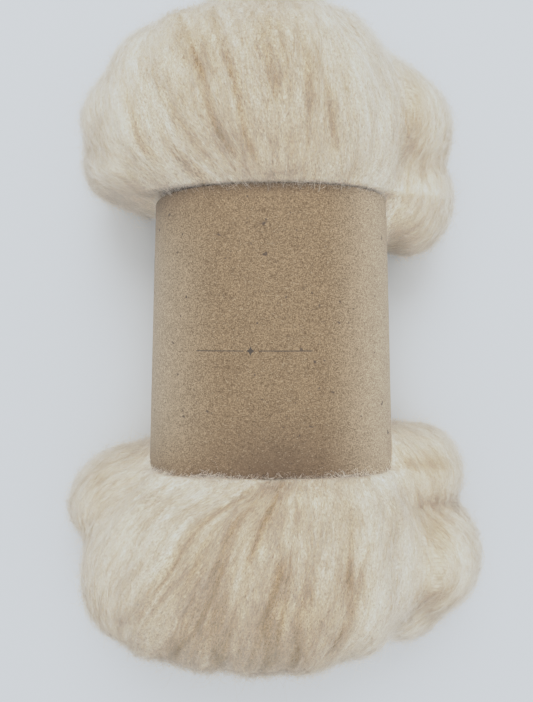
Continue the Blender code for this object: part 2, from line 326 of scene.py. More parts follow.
# Streaks of tan fibre: the turn that each lies on, its half width in mm, where it begins and ends
# out from the band in mm, and how strong it is
streaks = {
    "upper": [
        (-0.75, 2.0, 8, 34, 0.6),
        (-0.5, 2.4, 6, 22, 0.75),
        (-0.5, 3.5, 20, 48, 0.4),
        (-0.22, 1.5, 6, 46, 0.9),
        (-0.22, 2.5, 36, 72, 0.6),
        (0.0, 1.3, 6, 44, 1.0),
        (-0.03, 2.2, 36, 66, 0.5),
        (0.2, 3.4, 28, 62, 0.55),
        (0.2, 2.0, 2, 18, 0.35),
        (0.34, 2.4, 2, 40, 0.5),
        (0.45, 2.0, 26, 48, 0.35),
        (0.55, 2.4, 8, 30, 0.7),
        (0.68, 2.0, -4, 10, 0.8),
        (0.86, 3.0, 34, 70, 0.35),
        (-0.62, 3.0, -4, 12, 0.6),
        (-0.36, 2.0, 44, 66, 0.5),
    ],
    "lower": [
        (-0.5, 2.0, 2, 54, 1.0),
        (-0.36, 3.0, 14, 44, 0.4),
        (0.0, 1.6, 0, 28, 0.9),
        (-0.22, 2.4, 4, 32, 0.7),
        (-0.22, 4.0, 28, 72, 0.6),
        (-0.04, 3.0, 40, 72, 0.5),
        (0.2, 3.4, 26, 74, 0.75),
        (0.36, 2.6, 36, 74, 0.6),
        (0.55, 1.8, 6, 34, 0.5),
        (0.57, 2.6, 30, 66, 1.0),
        (0.8, 1.6, 8, 36, 0.45),
        (-0.75, 5.0, 46, 72, 0.4),
    ],
}

# Tan patches on the side loops: centre and half sizes in mm, and strength
patches = [
    ((55, 88, 60), (6, 20, 14), 0.8),
    ((66, 62, 50), (8, 5, 14), 0.45),
    ((52, 45, 40), (7, 12, 16), 0.45),
    ((-62, 40, 40), (16, 7, 14), 0.2),
    ((62, -52, 52), (16, 4, 14), 0.7),
    ((66, -78, 55), (6, 24, 14), 0.65),
    ((64, -106, 50), (9, 12, 20), 0.6),
    ((-69, -58, 52), (3.5, 9, 14), 0.5),
    ((-56, -46, 40), (18, 6, 14), 0.4),
]


streakForm = {
    "layers": [(0.5, 1), (0.3, 2.4), (0.25, 0.35)],  # how strong, and how wide in half widths
    "wander": 0.9,  # mm that a streak strays from its turn
    "wanderEvery": 13,  # mm between its bends
    "fadeIn": 10,  # mm
    "fadeOut": 14,
    "from": 20,  # mm above the floor, below which there are none
    "span": 30,
}


def streakAt(places, lane):
    # how strongly a tan streak runs through each place
    local, out = localOf(places)
    turns = lanes["turn"]
    strength = np.zeros(len(places))
    for end, chosen in endsOf(local):
        at = lanePlaces(end, out[chosen])
        bends = [out[chosen] / streakForm["wanderEvery"], lane[chosen] * 3, out[chosen] * 0]
        wander = streakForm["wander"] * smoothNoise(np.stack(bends, axis=1), 3)
        for turn, width, begin, finish, full in streaks[end]:
            k = min(int(np.searchsorted(turns, turn, side="right")) - 1, len(turns) - 2)
            part = (turn - turns[k]) / (turns[k + 1] - turns[k])
            x = at[:, k] + part * (at[:, k + 1] - at[:, k])
            away = np.abs(local[chosen, 0] - x - wander) / width
            body = sum(share * np.exp(-(away / wide) ** 2) for share, wide in streakForm["layers"])
            fadeIn = ease((out[chosen] - begin) / streakForm["fadeIn"] + 0.5)
            fadeOut = 1 - ease((out[chosen] - finish) / streakForm["fadeOut"] + 0.5)
            strength[chosen] += full * body * (fadeIn * fadeOut)
    front = ramp(local[:, 2], streakForm["from"], streakForm["span"])
    return strength * (1 - flankOf(lane)) * front


def tanAt(places):
    # the share of tan fibre at each place
    local, out = localOf(places)
    lane = laneAt(places)
    turn = turnAt(places, lane)
    lower = local[:, 1] < 0
    laneMiddle, laneHalf = wool["centreLane"]
    centre = np.exp(-((lane - laneMiddle) / laneHalf) ** 4)
    tan = wool["baseTan"] + wool["lowerTan"] * lower + wool["centreTan"] * centre
    (near, nearReach), (fold, *foldRamp), (tip, *tipRamp) = wool["lowerChange"]
    near, fold = near * np.exp(-(out / nearReach) ** 2), fold * ramp(out, *foldRamp)
    tan += centre * (fold + near) * lower
    tan -= tip * ramp(out, *tipRamp) * lower
    thread, strand, broad = (runNoise(turn, out, local[:, 2], *sizes) for sizes in wool["carding"])
    tan += wool["streakTan"] * streakAt(places, lane) * (0.8 + 0.7 * thread + 0.6 * strand)
    for centreOf, sizes, strength in patches:
        away = (((local - centreOf) / sizes) ** 2).sum(axis=1)
        tan += strength * 0.5 * np.exp(-away)
    threadTan, strandTan, broadTan = wool["cardingTan"]
    return np.clip(tan + broadTan * broad + strandTan * strand + threadTan * thread, 0, 1)


# Where wool creeps over the card's edges: side, mm from the middle, half width and how much
tufts = [
    (-1, -22, 6, 1.0),
    (-1, 28, 5, 1.0),
    (-1, 8, 14, 0.05),
    (1, 20, 12, 0.05),
    (-1, -42, 5, 0.3),
]


def tuftAt(x, y):
    return sum(much * np.exp(-((x - centre) / half) ** 2) * (edge * y > 0)
               for edge, centre, half, much in tufts)


wool = {
    "voxel": 1.5 * mm,
    "softening": (14, 160),  # rounds of smoothing: for its shape, and to find the creases to fill
    "filled": (0.3, 1.0),  # how far creases are filled, on the front and on the side loops
    # fine turns: height in mm, and their noise's knots across, mm along and up, and seed
    "ridges": [(0.5, (9, 40, 60, 5)), (0.25, (22, 26, 60, 6))],
    "ridgesFrom": 1,  # mm out from the band where they begin
    "ridgesSpan": 10,
    "groove": 0.35,  # mm that the wool sinks along a streak
    "bulge": (2.2, 2.2),  # mm that it swells over the band's upper and lower edges
    "starts": (-0.1, -0.4),  # mm out from the band where the swelling begins
    "underCard": 0.4,  # mm that it is pressed down under the card
    "cream": "#f3e6d4",
    "tan": "#af9673",
    # painted shade: the dark brown for the crease along the card's upper edge
    "creaseShade": "#553c26",
    "creaseHeights": (0.052, 0.064),  # m above the floor, between which it comes in
    # shares of tan fibre: everywhere, more on the lower end, down the middle, and in the streaks
    "baseTan": 0.065,
    "lowerTan": 0.05,
    "centreTan": 0.28,
    "streakTan": 0.45,
    "centreLane": (0.05, 0.6),  # the turn at the middle of that tan, and its half width
    # on the lower end it is tanner near the band and from the fold on, and paler at the tip: how
    # much, and in mm its reach, or where it begins and over how far it grows
    "lowerChange": [(0.06, 12), (0.13, 26, 36), (0.2, 66, 12)],
    # uneven carding from fine to broad: knots across, mm along and up, and seed
    "carding": [(50, 16, 40, 2), (24, 24, 50, 4), (12, 34, 60, 1)],
    "cardingTan": (0.09, 0.08, 0.05),
    # where the loops are pushed over: centre, half sizes and push, in mm
    "pushes": [
        ((-64, 46, 40), (13, 13, 60), (3.5, 5, 0)),
        ((-54, -43, 40), (12, 11, 60), (0, -5, 0)),
        ((-57, 63, 52), (13, 11, 26), (-1, -3, 12)),
    ],
}


def softenedWool():
    # the solid as a fine even mesh, smoothed a little and smoothed much
    body = linkObject("wool_body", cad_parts["roving_hank"].data.copy())
    weld = body.modifiers.new("weld", "WELD")
    weld.merge_threshold = 0.01 * mm
    remesh = body.modifiers.new("remesh", "REMESH")
    remesh.mode = "VOXEL"
    remesh.voxel_size = wool["voxel"]
    soften = body.modifiers.new("soften", "SMOOTH")
    shapes = []
    for rounds in wool["softening"]:
        soften.iterations = rounds
        graph = bpy.context.evaluated_depsgraph_get()
        shapes.append(bpy.data.meshes.new_from_object(body.evaluated_get(graph)))
    body.modifiers.clear()
    mesh, smoother = shapes
    body.data = mesh
    mesh.materials.clear()
    smoothPlaces = pointsOf(smoother)
    bpy.data.meshes.remove(smoother)
    return body, smoothPlaces


def shapeWool():
    body, smoothPlaces = softenedWool()
    mesh = body.data

    # creases between loops are filled where much smoothing would raise them
    places, normals = pointsOf(mesh), normalsOf(mesh)
    raised = np.maximum(((smoothPlaces - places) * normals).sum(axis=1), 0)
    front, side = wool["filled"]
    places += normals * (raised * (front + (side - front) * sideShare(places)))[:, None]
    local = localOf(places)[0]
    for centre, sizes, push in wool["pushes"]:
        near = np.exp(-(((local - centre) / sizes) ** 2).sum(axis=1))
        places += near[:, None] * np.array(push) * mm
    mesh.vertices.foreach_set("co", places.astype(np.float32).ravel())
    mesh.update()

    # fine turns, and the swelling where the wool bursts out of the band
    normals = normalsOf(mesh)
    local, out = localOf(places)
    aside, y, z = np.abs(local[:, 0]), local[:, 1], local[:, 2]
    lane = laneAt(places)
    turn = turnAt(places, lane)
    rise = -wool["groove"] * streakAt(places, lane)
    for height, sizes in wool["ridges"]:
        rise += height * runNoise(turn, out, z, *sizes)
    free = ramp(out, wool["ridgesFrom"], wool["ridgesSpan"])
    start = np.where(y > 0, *wool["starts"]) - 0.5 * tuftAt(local[:, 0], y)
    swell = ramp(out, start, 2.0) * (1 - ramp(out, 4, 12)) * ramp(z, 20, 30)
    swell *= np.where(y > 0, *wool["bulge"]) * (1 - ramp(aside, waist["sideFrom"], 9))
    places += normals * ((rise * free + swell) * mm)[:, None]
    sunk = dipAt(places) + wool["underCard"] * (out < 0)
    places[:, 2] = np.maximum(places[:, 2] - sunk * mm, 0)
    mesh.vertices.foreach_set("co", places.astype(np.float32).ravel())
    mesh.shade_smooth()
    mesh.update()
    return body


def markWool(body):
    # how tan and how calm the wool is at each point, and its place along and across the turns
    places = pointsOf(body.data)
    local = localOf(places)[0]
    across = turnAt(places, laneAt(places)) * laneWidth
    mark(body.data, "tanShare", tanAt(places))
    mark(body.data, "calm", sideShare(places))
    mark(body.data, "grain", np.stack([across, np.abs(local[:, 1]), local[:, 2]], axis=1))


def woolBodyMaterial():
    # Carded wool sliver: millions of fine scaly fibres combed one way, so it is matt and soft
    material, tree, shader = startMaterial("carded wool, combed", {
        "Roughness": 0.95, "Specular IOR Level": 0.15, "Sheen Weight": 0.08, "Sheen Roughness": 0.6,
        "Subsurface Weight": 0.55, "Subsurface Radius": (1.0, 0.85, 0.7),
        "Subsurface Scale": 7 * mm})
    tan = addNode(tree, "Attribute", {"attribute_name": "tanShare"})
    grain = addNode(tree, "Attribute", {"attribute_name": "grain"})
    # fibres crimp every millimetre or so, and their locks are about half a millimetre apart
    stretch = addNode(tree, "Mapping", {"Scale": (3.0, 1.1, 1.1)},
                      {"Vector": grain.outputs["Vector"]})
    strands = addNode(tree, "TexNoise",
                      {"Scale": 1.0, "Detail": 1.0, "Roughness": 0.5, "Distortion": 0.6},
                      {"Vector": stretch})
    # the side loops are looser, so their grain is fainter
    calm = addNode(tree, "Attribute", {"attribute_name": "calm"})
    crisp = addNode(tree, "Math", {"operation": "MULTIPLY_ADD", 1: -0.5, 2: 1.0},
                    {0: calm.outputs["Fac"]})
    middling = addNode(tree, "Math", {"operation": "SUBTRACT", 1: 0.5}, {0: strands.outputs["Fac"]})
    grained = addNode(tree, "Math", {"operation": "MULTIPLY"}, {0: middling, 1: crisp})
    shift = addNode(tree, "Math", {"operation": "MULTIPLY", 1: 0.35}, {0: grained})
    share = addNode(tree, "Math", {"operation": "ADD", "use_clamp": True},
                    {0: tan.outputs["Fac"], 1: shift})
    colour = addNode(tree, "Mix",
                     {"data_type": "RGBA", 6: srgb(wool["cream"]), 7: srgb(wool["tan"])},
                     {0: share})
    bright = addNode(tree, "Math", {"operation": "MULTIPLY_ADD", 1: -1.25, 2: 1.0}, {0: grained})
    shaded = addNode(tree, "VectorMath", {"operation": "SCALE"},
                     {0: colour.outputs[2], "Scale": bright})
    # painted shade: the wool in the crease along the card's upper edge, where hardly any light
    # returns, is mixed towards dark brown
    place = addNode(tree, "TexCoord")
    at = addNode(tree, "SeparateXYZ", links={0: place.outputs["Object"]})
    upper = addNode(tree, "Math", {"operation": "SUBTRACT", 1: float(bandHigh[1])},
                    {0: at.outputs["Y"]})
    creaseShade = addNode(tree, "MapRange", {1: -0.3 * mm, 2: 0.7 * mm, 3: 0.9, 4: 0.0}, {0: upper})
    bottom, top = wool["creaseHeights"]
    side = addNode(tree, "MapRange", {1: bottom, 2: top}, {0: at.outputs["Z"]})
    above = addNode(tree, "Math", {"operation": "GREATER_THAN", 1: float(middle[1])},
                    {0: at.outputs["Y"]})
    where = addNode(tree, "Math", {"operation": "MULTIPLY"}, {0: side, 1: above})
    amount = addNode(tree, "Math", {"operation": "MULTIPLY"}, {0: where, 1: creaseShade})
    paintedShade = addNode(tree, "Mix", {"data_type": "RGBA", 7: srgb(wool["creaseShade"])},
                      {0: amount, 6: shaded})
    bump = addNode(tree, "Bump", {"Strength": 0.4, "Distance": 0.0005},
                   {"Height": strands.outputs["Fac"]})
    tree.links.new(paintedShade.outputs[2], shader.inputs["Base Color"])
    tree.links.new(bump.outputs["Normal"], shader.inputs["Normal"])
    return material


# Each kind of fibre: how many, its length and width in mm (a real fibre is about 0.03 mm, so each
# stands for a small lock), its parts, how far it strays from the turn in degrees, how much it
# turns at each part, how far its parts stand off in mm, and the share laid on the underside. Some
# are denser on the flanks, or chosen from more tries, or lie only so many mm outside the band
fibres = {
    "laid": {
        "count": 19000, "length": (12, 26), "width": (0.07, 0.15), "parts": 3, "stray": 9,
        "turning": 6, "rise": (0.3, 0.7, 0.7, 0.3), "spread": 0.25, "under": 0.4,
    },
    "crimped": {
        "count": 66000, "length": (2.0, 4.8), "width": (0.06, 0.11), "parts": 2, "stray": 28,
        "turning": 32, "rise": (0.1, 1.0, 1.2), "spread": 0.6, "under": 0.4,
    },
    "flyaway": {
        "count": 11000, "length": (6, 15), "width": (0.04, 0.08), "parts": 3, "stray": 50,
        "turning": 24, "rise": (0, 1.2, 2.3, 2.9), "spread": 0.9, "under": 0.4, "flank": 2.5,
    },
    "wisp": {
        "count": 70, "length": (16, 34), "width": (0.05, 0.07), "parts": 7, "stray": 70,
        "turning": 20, "rise": (0, 1, 2, 3, 3.6, 4, 4.4, 4.8), "spread": 0.6, "under": 0.2,
    },
    "fluff": {
        "count": 1100, "length": (1.5, 4.2), "width": (0.04, 0.08), "parts": 3, "stray": 34,
        "turning": 28, "rise": (0.5, 0.9, 0.8, 0.6), "spread": 0.3, "under": 0.3,
        "tries": 5, "within": (0.2, 1.8),
    },
    "tuft": {
        "count": 800, "length": (2.2, 5.0), "width": (0.06, 0.1), "parts": 3, "stray": 34,
        "turning": 34, "rise": (0.5, 1.0, 0.9, 0.6), "spread": 0.35, "under": 0.3,
        "tries": 40, "within": (0.0, 0.9),
    },
}


fibreLooks = {
    "own": 0.16,  # share of a fibre's colour that is its own, and not that of its place
    "ownTan": 0.8,
    "toneSpread": 0.04,
    "sideCalm": 0.4,  # how much less their brightness varies on the side loops
    "overUpper": 0.1,  # how much fluff grows over the card's upper edge, against the lower
    "tuftFrom": 50,  # mm above the floor, below which no tuft grows
    "overTan": 0.5,  # how tan the fibres over the card are, against the wool beside them
    # painted light: the fibres over the card are brighter than the wool's own, for the light that
    # they catch standing free
    "overBright": (0.8, 1),
}


def scatter(body, kind, rng):
    # even places over the wool outside the band, but fewer on faces that look down to the floor,
    # and more on steep ones where the kind asks for it
    count = kind["count"] * kind.get("tries", 1)
    nearest, farthest = kind.get("within", (-1.0, 200.0))
    mesh = body.data
    mesh.calc_loop_triangles()
    corners = np.zeros(len(mesh.loop_triangles) * 3, np.int32)
    mesh.loop_triangles.foreach_get("vertices", corners)
    corners = corners.reshape(-1, 3)
    points, normals = pointsOf(mesh), normalsOf(mesh)
    a, b, c = (points[corners[:, k]] for k in range(3))
    across = np.cross(b - a, c - a)
    area = np.linalg.norm(across, axis=1) / 2
    up = across[:, 2] / np.maximum(2 * area, 1e-12)
    out = beyondBand((a + b + c) / 3)
    inReach = (out > nearest) & (out < farthest)
    weight = area * inReach * np.where(up < -0.3, kind["under"], 1)
    weight *= np.where(np.abs(up) < 0.5, kind.get("flank", 1.0), 1)
    chosen = rng.choice(len(area), size=count, p=weight / weight.sum())
    u, v = rng.random((2, count))
    fold = u + v > 1
    u, v = np.where(fold, 1 - u, u)[:, None], np.where(fold, 1 - v, v)[:, None]
    share = (1 - u - v, u, v)
    spot = sum(w * points[corners[chosen, k]] for k, w in enumerate(share))
    return spot, unit(sum(w * normals[corners[chosen, k]] for k, w in enumerate(share)))


def onSurface(tree, places):
    found = [tree.find_nearest(p) for p in places]
    return np.array([f[0] for f in found]), np.array([f[1] for f in found])


def combFibres(tree, spots, normals, kind, rng, heading=None, clear=False):
    # each fibre as points that follow the wool's surface away from its root
    count, parts = len(spots), kind["parts"]
    lengths = rng.uniform(*kind["length"], count) * mm
    turned = np.radians(rng.normal(0, kind["stray"], count))
    before = heading
    if heading is None:
        before = flowAt(spots, normals) * rng.choice([-1, 1], count)[:, None]
    at, up = spots, normals
    lines, ups = [at], [up]
    for _ in range(parts):
        flow = flowAt(at, up)
        flow *= np.where((flow * before).sum(axis=1, keepdims=True) < 0, -1, 1)
        turned = turned + np.radians(rng.normal(0, kind["turning"], count))
        way = flow * np.cos(turned)[:, None] + np.cross(up, flow) * np.sin(turned)[:, None]
        before = flow
        at, up = onSurface(tree, at + way * (lengths / parts)[:, None])
        lines.append(at)
        ups.append(up)
    lines, ups = np.stack(lines, axis=1), np.stack(ups, axis=1)
    rise = np.array(kind["rise"])[None] * rng.gamma(2.0, 0.5, count)[:, None]
    rise = np.maximum(rise + rng.normal(0, kind["spread"], (count, parts + 1)), 0.03)
    out = beyondBand(lines.reshape(-1, 3)).reshape(count, -1)
    # fibres lie flatter close to the card, unless they are to lie over it
    hold = 1 if clear else 0.35 + 0.65 * ramp(out, -0.5, 2.5)
    lines = lines + ups * (rise * hold * mm)[:, :, None]
    lines[:, :, 2] = np.maximum(lines[:, :, 2], 0.2 * mm)
    return lines, ups


def spinLocks(name, lines, ups, radii, tone, jitter):
    # three-sided tapering tubes round the lines. Their map goes by colour alone, with u for how
    # tan and v for how bright, and small nudges so that no face is without area on it
    count, rings = lines.shape[0], lines.shape[1]
    along = unit(np.gradient(lines, axis=1))
    side = unit(np.cross(along, ups))
    lift = np.cross(side, along)
    points = [lines[:, :1]]
    for k in range(1, rings - 1):
        for turn in range(3):
            angle = math.pi / 2 + 2 * math.pi * turn / 3
            offset = side[:, k] * math.cos(angle) + lift[:, k] * math.sin(angle)
            points.append((lines[:, k] + offset * radii[:, None])[:, None])
    points = np.concatenate([*points, lines[:, -1:]], axis=1)
    last = 1 + 3 * (rings - 2)
    faces = []
    for i in range(3):
        j = (i + 1) % 3
        faces.append((0, 1 + j, 1 + i))
        for k in range(rings - 3):
            a, b = 1 + 3 * k + i, 1 + 3 * k + j
            faces += [(a, b, b + 3), (a, b + 3, a + 3)]
        faces.append((last, last - 3 + i, last - 3 + j))
    starts = np.arange(count) * (last + 1)
    triangles = (np.array(faces)[None] + starts[:, None, None]).reshape(-1, 3)
    mesh = meshFrom(name, points.reshape(-1, 3), triangles)
    ringOf = np.array([0] + [k for k in range(1, rings - 1) for _ in range(3)] + [rings - 1])
    nudge = np.array([0] + [i for _ in range(rings - 2) for i in range(3)] + [1]) * 0.004
    inset = 0.02
    u = inset + 0.95 * tone[:, ringOf] + nudge[None]
    v = inset + 0.9 * jitter[:, None] + 0.006 * ringOf[None]
    uv = np.stack([u.reshape(-1), v.reshape(-1)], axis=1)[triangles.ravel()]
    layer = mesh.uv_layers.new(name="OFBake")
    layer.uv.foreach_set("vector", uv.astype(np.float32).ravel())
    mesh.shade_smooth()
    return linkObject(name, mesh)


def fibreMaterial():
    # Loose locks of the same wool: fine, crimped and matt, cream or tan as the map says
    material, tree, shader = startMaterial("carded wool, loose locks", {
        "Roughness": 0.9, "Specular IOR Level": 0.15, "Sheen Weight": 0.3, "Sheen Roughness": 0.6,
        "Subsurface Weight": 0.7, "Subsurface Radius": (1.0, 1.0, 1.0),
        "Subsurface Scale": 0.3 * mm})
    place = addNode(tree, "UVMap", {"uv_map": "OFBake"})
    parts = addNode(tree, "SeparateXYZ", links={0: place})
    colour = addNode(tree, "Mix",
                     {"data_type": "RGBA", 6: srgb(wool["cream"]), 7: srgb(wool["tan"])},
                     {0: parts.outputs["X"]})
    bright = addNode(tree, "Math", {"operation": "MULTIPLY_ADD", 1: 0.4, 2: 0.78},
                     {0: parts.outputs["Y"]})
    tint = addNode(tree, "VectorMath", {"operation": "SCALE"},
                   {0: colour.outputs[2], "Scale": bright})
    tree.links.new(tint.outputs[0], shader.inputs["Base Color"])
    return material


def treeOf(*objects):
    points, faces = [], []
    for thing in objects:
        start = len(points)
        points += [v.co for v in thing.data.vertices]
        faces += [[start + i for i in p.vertices] for p in thing.data.polygons]
    return BVHTree.FromPolygons(points, faces)


def toneOf(lines, rng):
    # mostly the colour of the place, and partly of the fibre itself, as cream and tan are mixed
    # in carding
    count, rings = lines.shape[:2]
    tone = tanAt(lines.reshape(-1, 3)).reshape(count, rings)
    own = (rng.random(count) < tone.mean(axis=1)) * fibreLooks["ownTan"]
    share = fibreLooks["own"]
    spread = rng.normal(0, fibreLooks["toneSpread"], count)
    return np.clip((1 - share) * tone + share * own[:, None] + spread[:, None], 0, 1)


def layFibres(body, bandPiece):
    rng = np.random.default_rng(5)
    tree = treeOf(body)
    material = fibreMaterial()
    made = []
    for kindName, pieces in (("laid", 2), ("crimped", 2), ("flyaway", 1), ("wisp", 1)):
        kind = fibres[kindName]
        spots, normals = scatter(body, kind, rng)
        lines, ups = combFibres(tree, spots, normals, kind, rng)
        radii = rng.uniform(*kind["width"], len(lines)) / 2 * mm
        calm = 1 - fibreLooks["sideCalm"] * sideShare(lines[:, 1])
        tone, jitter = toneOf(lines, rng), 0.5 + (rng.random(len(lines)) - 0.5) * calm
        upper = lines[:, 1, 1] > middle[1]
        for end, chosen in (("upper", upper), ("lower", ~upper)):
            for number, part in enumerate(np.array_split(np.flatnonzero(chosen), pieces), 1):
                name = f"{kindName}_{end}_{number}" if pieces > 1 else f"{kindName}_{end}"
                made.append(spinLocks(name, lines[part], ups[part], radii[part], tone[part],
                                      jitter[part]))
        print("stage:", kindName, sum(len(p.data.polygons) for p in made), "faces so far")

    # fluff that grows over the card's edges from the wool beside them, and thicker tufts of it
    bothTree = treeOf(body, bandPiece)
    for kindName, share in (("fluff", 1.0), ("tuft", 0.0)):
        kind = fibres[kindName]
        spots, normals = scatter(body, kind, rng)
        across, side = (spots[:, 0] - middle[0]) / mm, np.sign(spots[:, 1] - middle[1])
        weight = share * np.where(side < 0, 1.0, fibreLooks["overUpper"]) + 1e-6
        if kindName == "tuft":
            weight += tuftAt(across, side) * (spots[:, 2] > fibreLooks["tuftFrom"] * mm)
        chosen = rng.choice(len(spots), kind["count"], replace=False, p=weight / weight.sum())
        spots, normals, side = spots[chosen], normals[chosen], side[chosen]
        heading = np.stack([side * 0, -side, side * 0], axis=1)
        lines, ups = combFibres(bothTree, spots, normals, kind, rng, heading, clear=True)
        radii = rng.uniform(*kind["width"], len(lines)) / 2 * mm
        tone = toneOf(lines, rng) * fibreLooks["overTan"]
        # painted light: brighter than the fibres on the wool
        jitter = rng.uniform(*fibreLooks["overBright"], len(lines))
        made.append(spinLocks(f"{kindName}_at_band", lines, ups, radii, tone, jitter))
    for piece in made:
        piece.data.materials.append(material)
    return made


band = {
    "axisHeight": 43.0,  # mm, like all its lengths
    "halfUpper": 46.1,  # half its width at the upper edge
    "halfLower": 49.1,
    "girth": 269.0,
    "squareness": 2.25,
    "thickness": 0.45,
    "lap": 10.4,
    "lapLift": 1.3,  # that the strip's end lies over its start
    "lapRamp": 8,  # over which it lifts before it gets there
    "steps": (180, 48),  # faces round it and along it
    "bowUpper": (4.4, 2.0),  # mm that its edge draws in round the left and the right flank
    "bowLower": (0.5, 0.5),
    "wave": (0.12, 24),  # mm that it waves by, and from one wave to the next
    "pulp": ("#5b4527", "#a0896b"),  # between these, grain by grain
    "paintedSheenPulp": ("#84745d", "#c0b19b"),  # the same, paler, where painted sheen lies
    "paintedSheen": (0.85, 1.0),  # how strong that painted sheen is at the left and right bends
    "paintedSheenFrom": (16, 17),  # mm to the left and right where that begins
    "paintedSheenSpan": (32, 28),
    "paintedSheenEdges": (14, 22),  # mm in from the lower and upper edges where it is less
    # painted shade: the dark brown that the card is mixed towards where the wool's bulges shade it
    "shadeColour": "#523a25",
    # painted shade where the wool's bulges shade it: edge, centre, half width and reach in mm, and
    # how strongly
    "paintedShadeAt": [
        (-1, 4, 26, 16, 0.6),
        (-1, -30, 22, 4, 0.2),
        (1, -4, 40, 3.0, 0.4),
        (1, -40, 12, 8, 0.3),
    ],
    # its pulp as clouds of 7 mm, clumps of 1 mm, and grain of 0.4 mm, the finest that the picture
    # can show: scale, detail, roughness and strength
    "clouds": (140, 2, 0.5, 0.25),
    "clumps": (900, 3, 0.75, 1.1),
    "grain": (2200, 2, 0.6, 2.6),
    # short fibres lie at all angles, so stretched patterns cross, and bark flecks of 0.5 to 1 mm
    # lie apart: degrees, scale, detail, roughness, level, softness, strength and colour
    "marks": [
        (35, (900, 1900, 1400), 2.0, 0.6, 0.72, 0.1, 0.55, "fleckPale"),
        (-50, (900, 1900, 1400), 2.0, 0.6, 0.74, 0.1, 0.55, "fleckPale"),
        (15, (900, 1900, 1400), 2.0, 0.6, 0.72, 0.1, 0.5, "fleckDark"),
        (0, (420, 420, 420), 1.0, 0.4, 0.78, 0.06, 0.75, "fleckDark"),
    ],
    "fleckDark": "#43342a",
    "fleckPale": "#b8a88e",
    "ink": "#3d332b",
}


def squarish(angles):
    # a circle's cosines and sines, made as square as the sleeve is
    power = 2 / band["squareness"]
    return [np.sign(wave) * np.abs(wave) ** power for wave in (np.cos(angles), np.sin(angles))]


def bandHalves(share):
    # half width and half height at a share of the way up the strip, with the girth kept
    c, s = squarish(np.linspace(0, 2 * math.pi, 361))

    def heightFor(halfX):
        low, high = 0.2 * halfX, 2 * halfX
        for _ in range(40):
            halfZ = (low + high) / 2
            girth = np.hypot(np.diff(c * halfX), np.diff(s * halfZ)).sum()
            low, high = (halfZ, high) if girth < band["girth"] else (low, halfZ)
        return halfZ

    wide = band["halfLower"] + (band["halfUpper"] - band["halfLower"]) * share
    tallLower, tallUpper = heightFor(band["halfLower"]), heightFor(band["halfUpper"])
    return wide, tallLower + (tallUpper - tallLower) * share


def shapeBand():
    around, along = band["steps"]
    turn = np.linspace(0, 1 + band["lap"] / band["girth"], around + 1)
    share = np.linspace(0, 1, along + 1)
    wide, tall = bandHalves(share)
    c, s = squarish(-math.pi / 2 + 2 * math.pi * turn)
    lift = band["lapLift"] * ease((turn - 1) * band["girth"] / band["lapRamp"] + 1)
    bow = 0
    for edge, ends in ((1, band["bowUpper"]), (-1, band["bowLower"])):
        near = ramp(edge * (share - 0.5) * 2, 0.4, 0.6)[:, None]
        drawn = ends[0] * (c < 0) + ends[1] * (c >= 0)
        bow = bow - edge * near * (1 - np.abs(s))[None] * drawn[None]
    y = (share - 0.5)[:, None] * 2 * bandHalf / mm + bow
    waving, apart = band["wave"]
    layers = []
    for layer in (0, 1):
        off = lift[None] - layer * band["thickness"]
        x = (wide[:, None] + off) * c[None]
        z = (tall[:, None] + off) * s[None]
        places = np.stack([x, y, z + band["axisHeight"]], axis=-1)
        places = places.reshape(-1, 3) * mm + middle
        # card never lies quite true on top
        wave = waving * (smoothNoise(places / mm / apart, 8) - 1) * ramp(places[:, 2] / mm, 50, 20)
        places[:, 2] += (wave - dipAt(places)) * mm
        layers.append(places)
    points = np.concatenate(layers)
    size = (around + 1) * (along + 1)
    index = np.arange(size).reshape(along + 1, around + 1)
    corners = index[:-1, :-1], index[:-1, 1:], index[1:, 1:], index[1:, :-1]
    outer = np.stack(corners, axis=-1).reshape(-1, 4)
    faces = [outer, outer[:, ::-1] + size]
    rim = np.concatenate([index[0, :], index[1:, -1], index[-1, -2::-1], index[-2::-1, 0]])
    faces.append(np.stack([rim[1:], rim[:-1], rim[:-1] + size, rim[1:] + size], axis=-1))
    mesh = meshFrom("kraft_band", points, np.concatenate(faces))
    mesh.shade_smooth()
    mesh.set_sharp_from_angle(angle=math.radians(50))

    local = localOf(points)[0]
    # painted shade near the card's edges, where the wool's bulges shade it, on its front only
    paintedShade = 0
    for side, centre, half, reach, amount in band["paintedShadeAt"]:
        edge = bandHalf / mm - side * local[:, 1]
        fade = -(edge / reach) ** 2 - ((local[:, 0] - centre) / half) ** 2
        paintedShade = paintedShade + amount * np.exp(fade)
    mark(mesh, "paintedShade", paintedShade * (local[:, 2] > band["axisHeight"]))
    # painted sheen: paler pulp down both bends, fading near the lower and upper edges
    left, right = zip(band["paintedSheen"], band["paintedSheenFrom"], band["paintedSheenSpan"])
    paintedSheen = left[0] * ramp(-local[:, 0], *left[1:])
    for side, reach in zip((-1, 1), band["paintedSheenEdges"]):
        paintedSheen *= 1 - 0.7 * np.exp(-((local[:, 1] - side * bandHalf / mm) / reach) ** 2)
    paintedSheen += right[0] * ramp(local[:, 0], *right[1:])
    mark(mesh, "paintedSheen", paintedSheen)
    return linkObject("kraft_band", mesh)


divider = {
    "centre": (-7.6, -6.5),  # mm from the band's middle
    "star": (1.8, 2.0),  # half width and half height
    "left": (-27.6, -10.1),  # where the rule begins and ends on each side of the star
    "right": (-4.6, 14.9),
    "thick": 0.34,
    "fresh": 0.92,  # how much of the ink is left
}


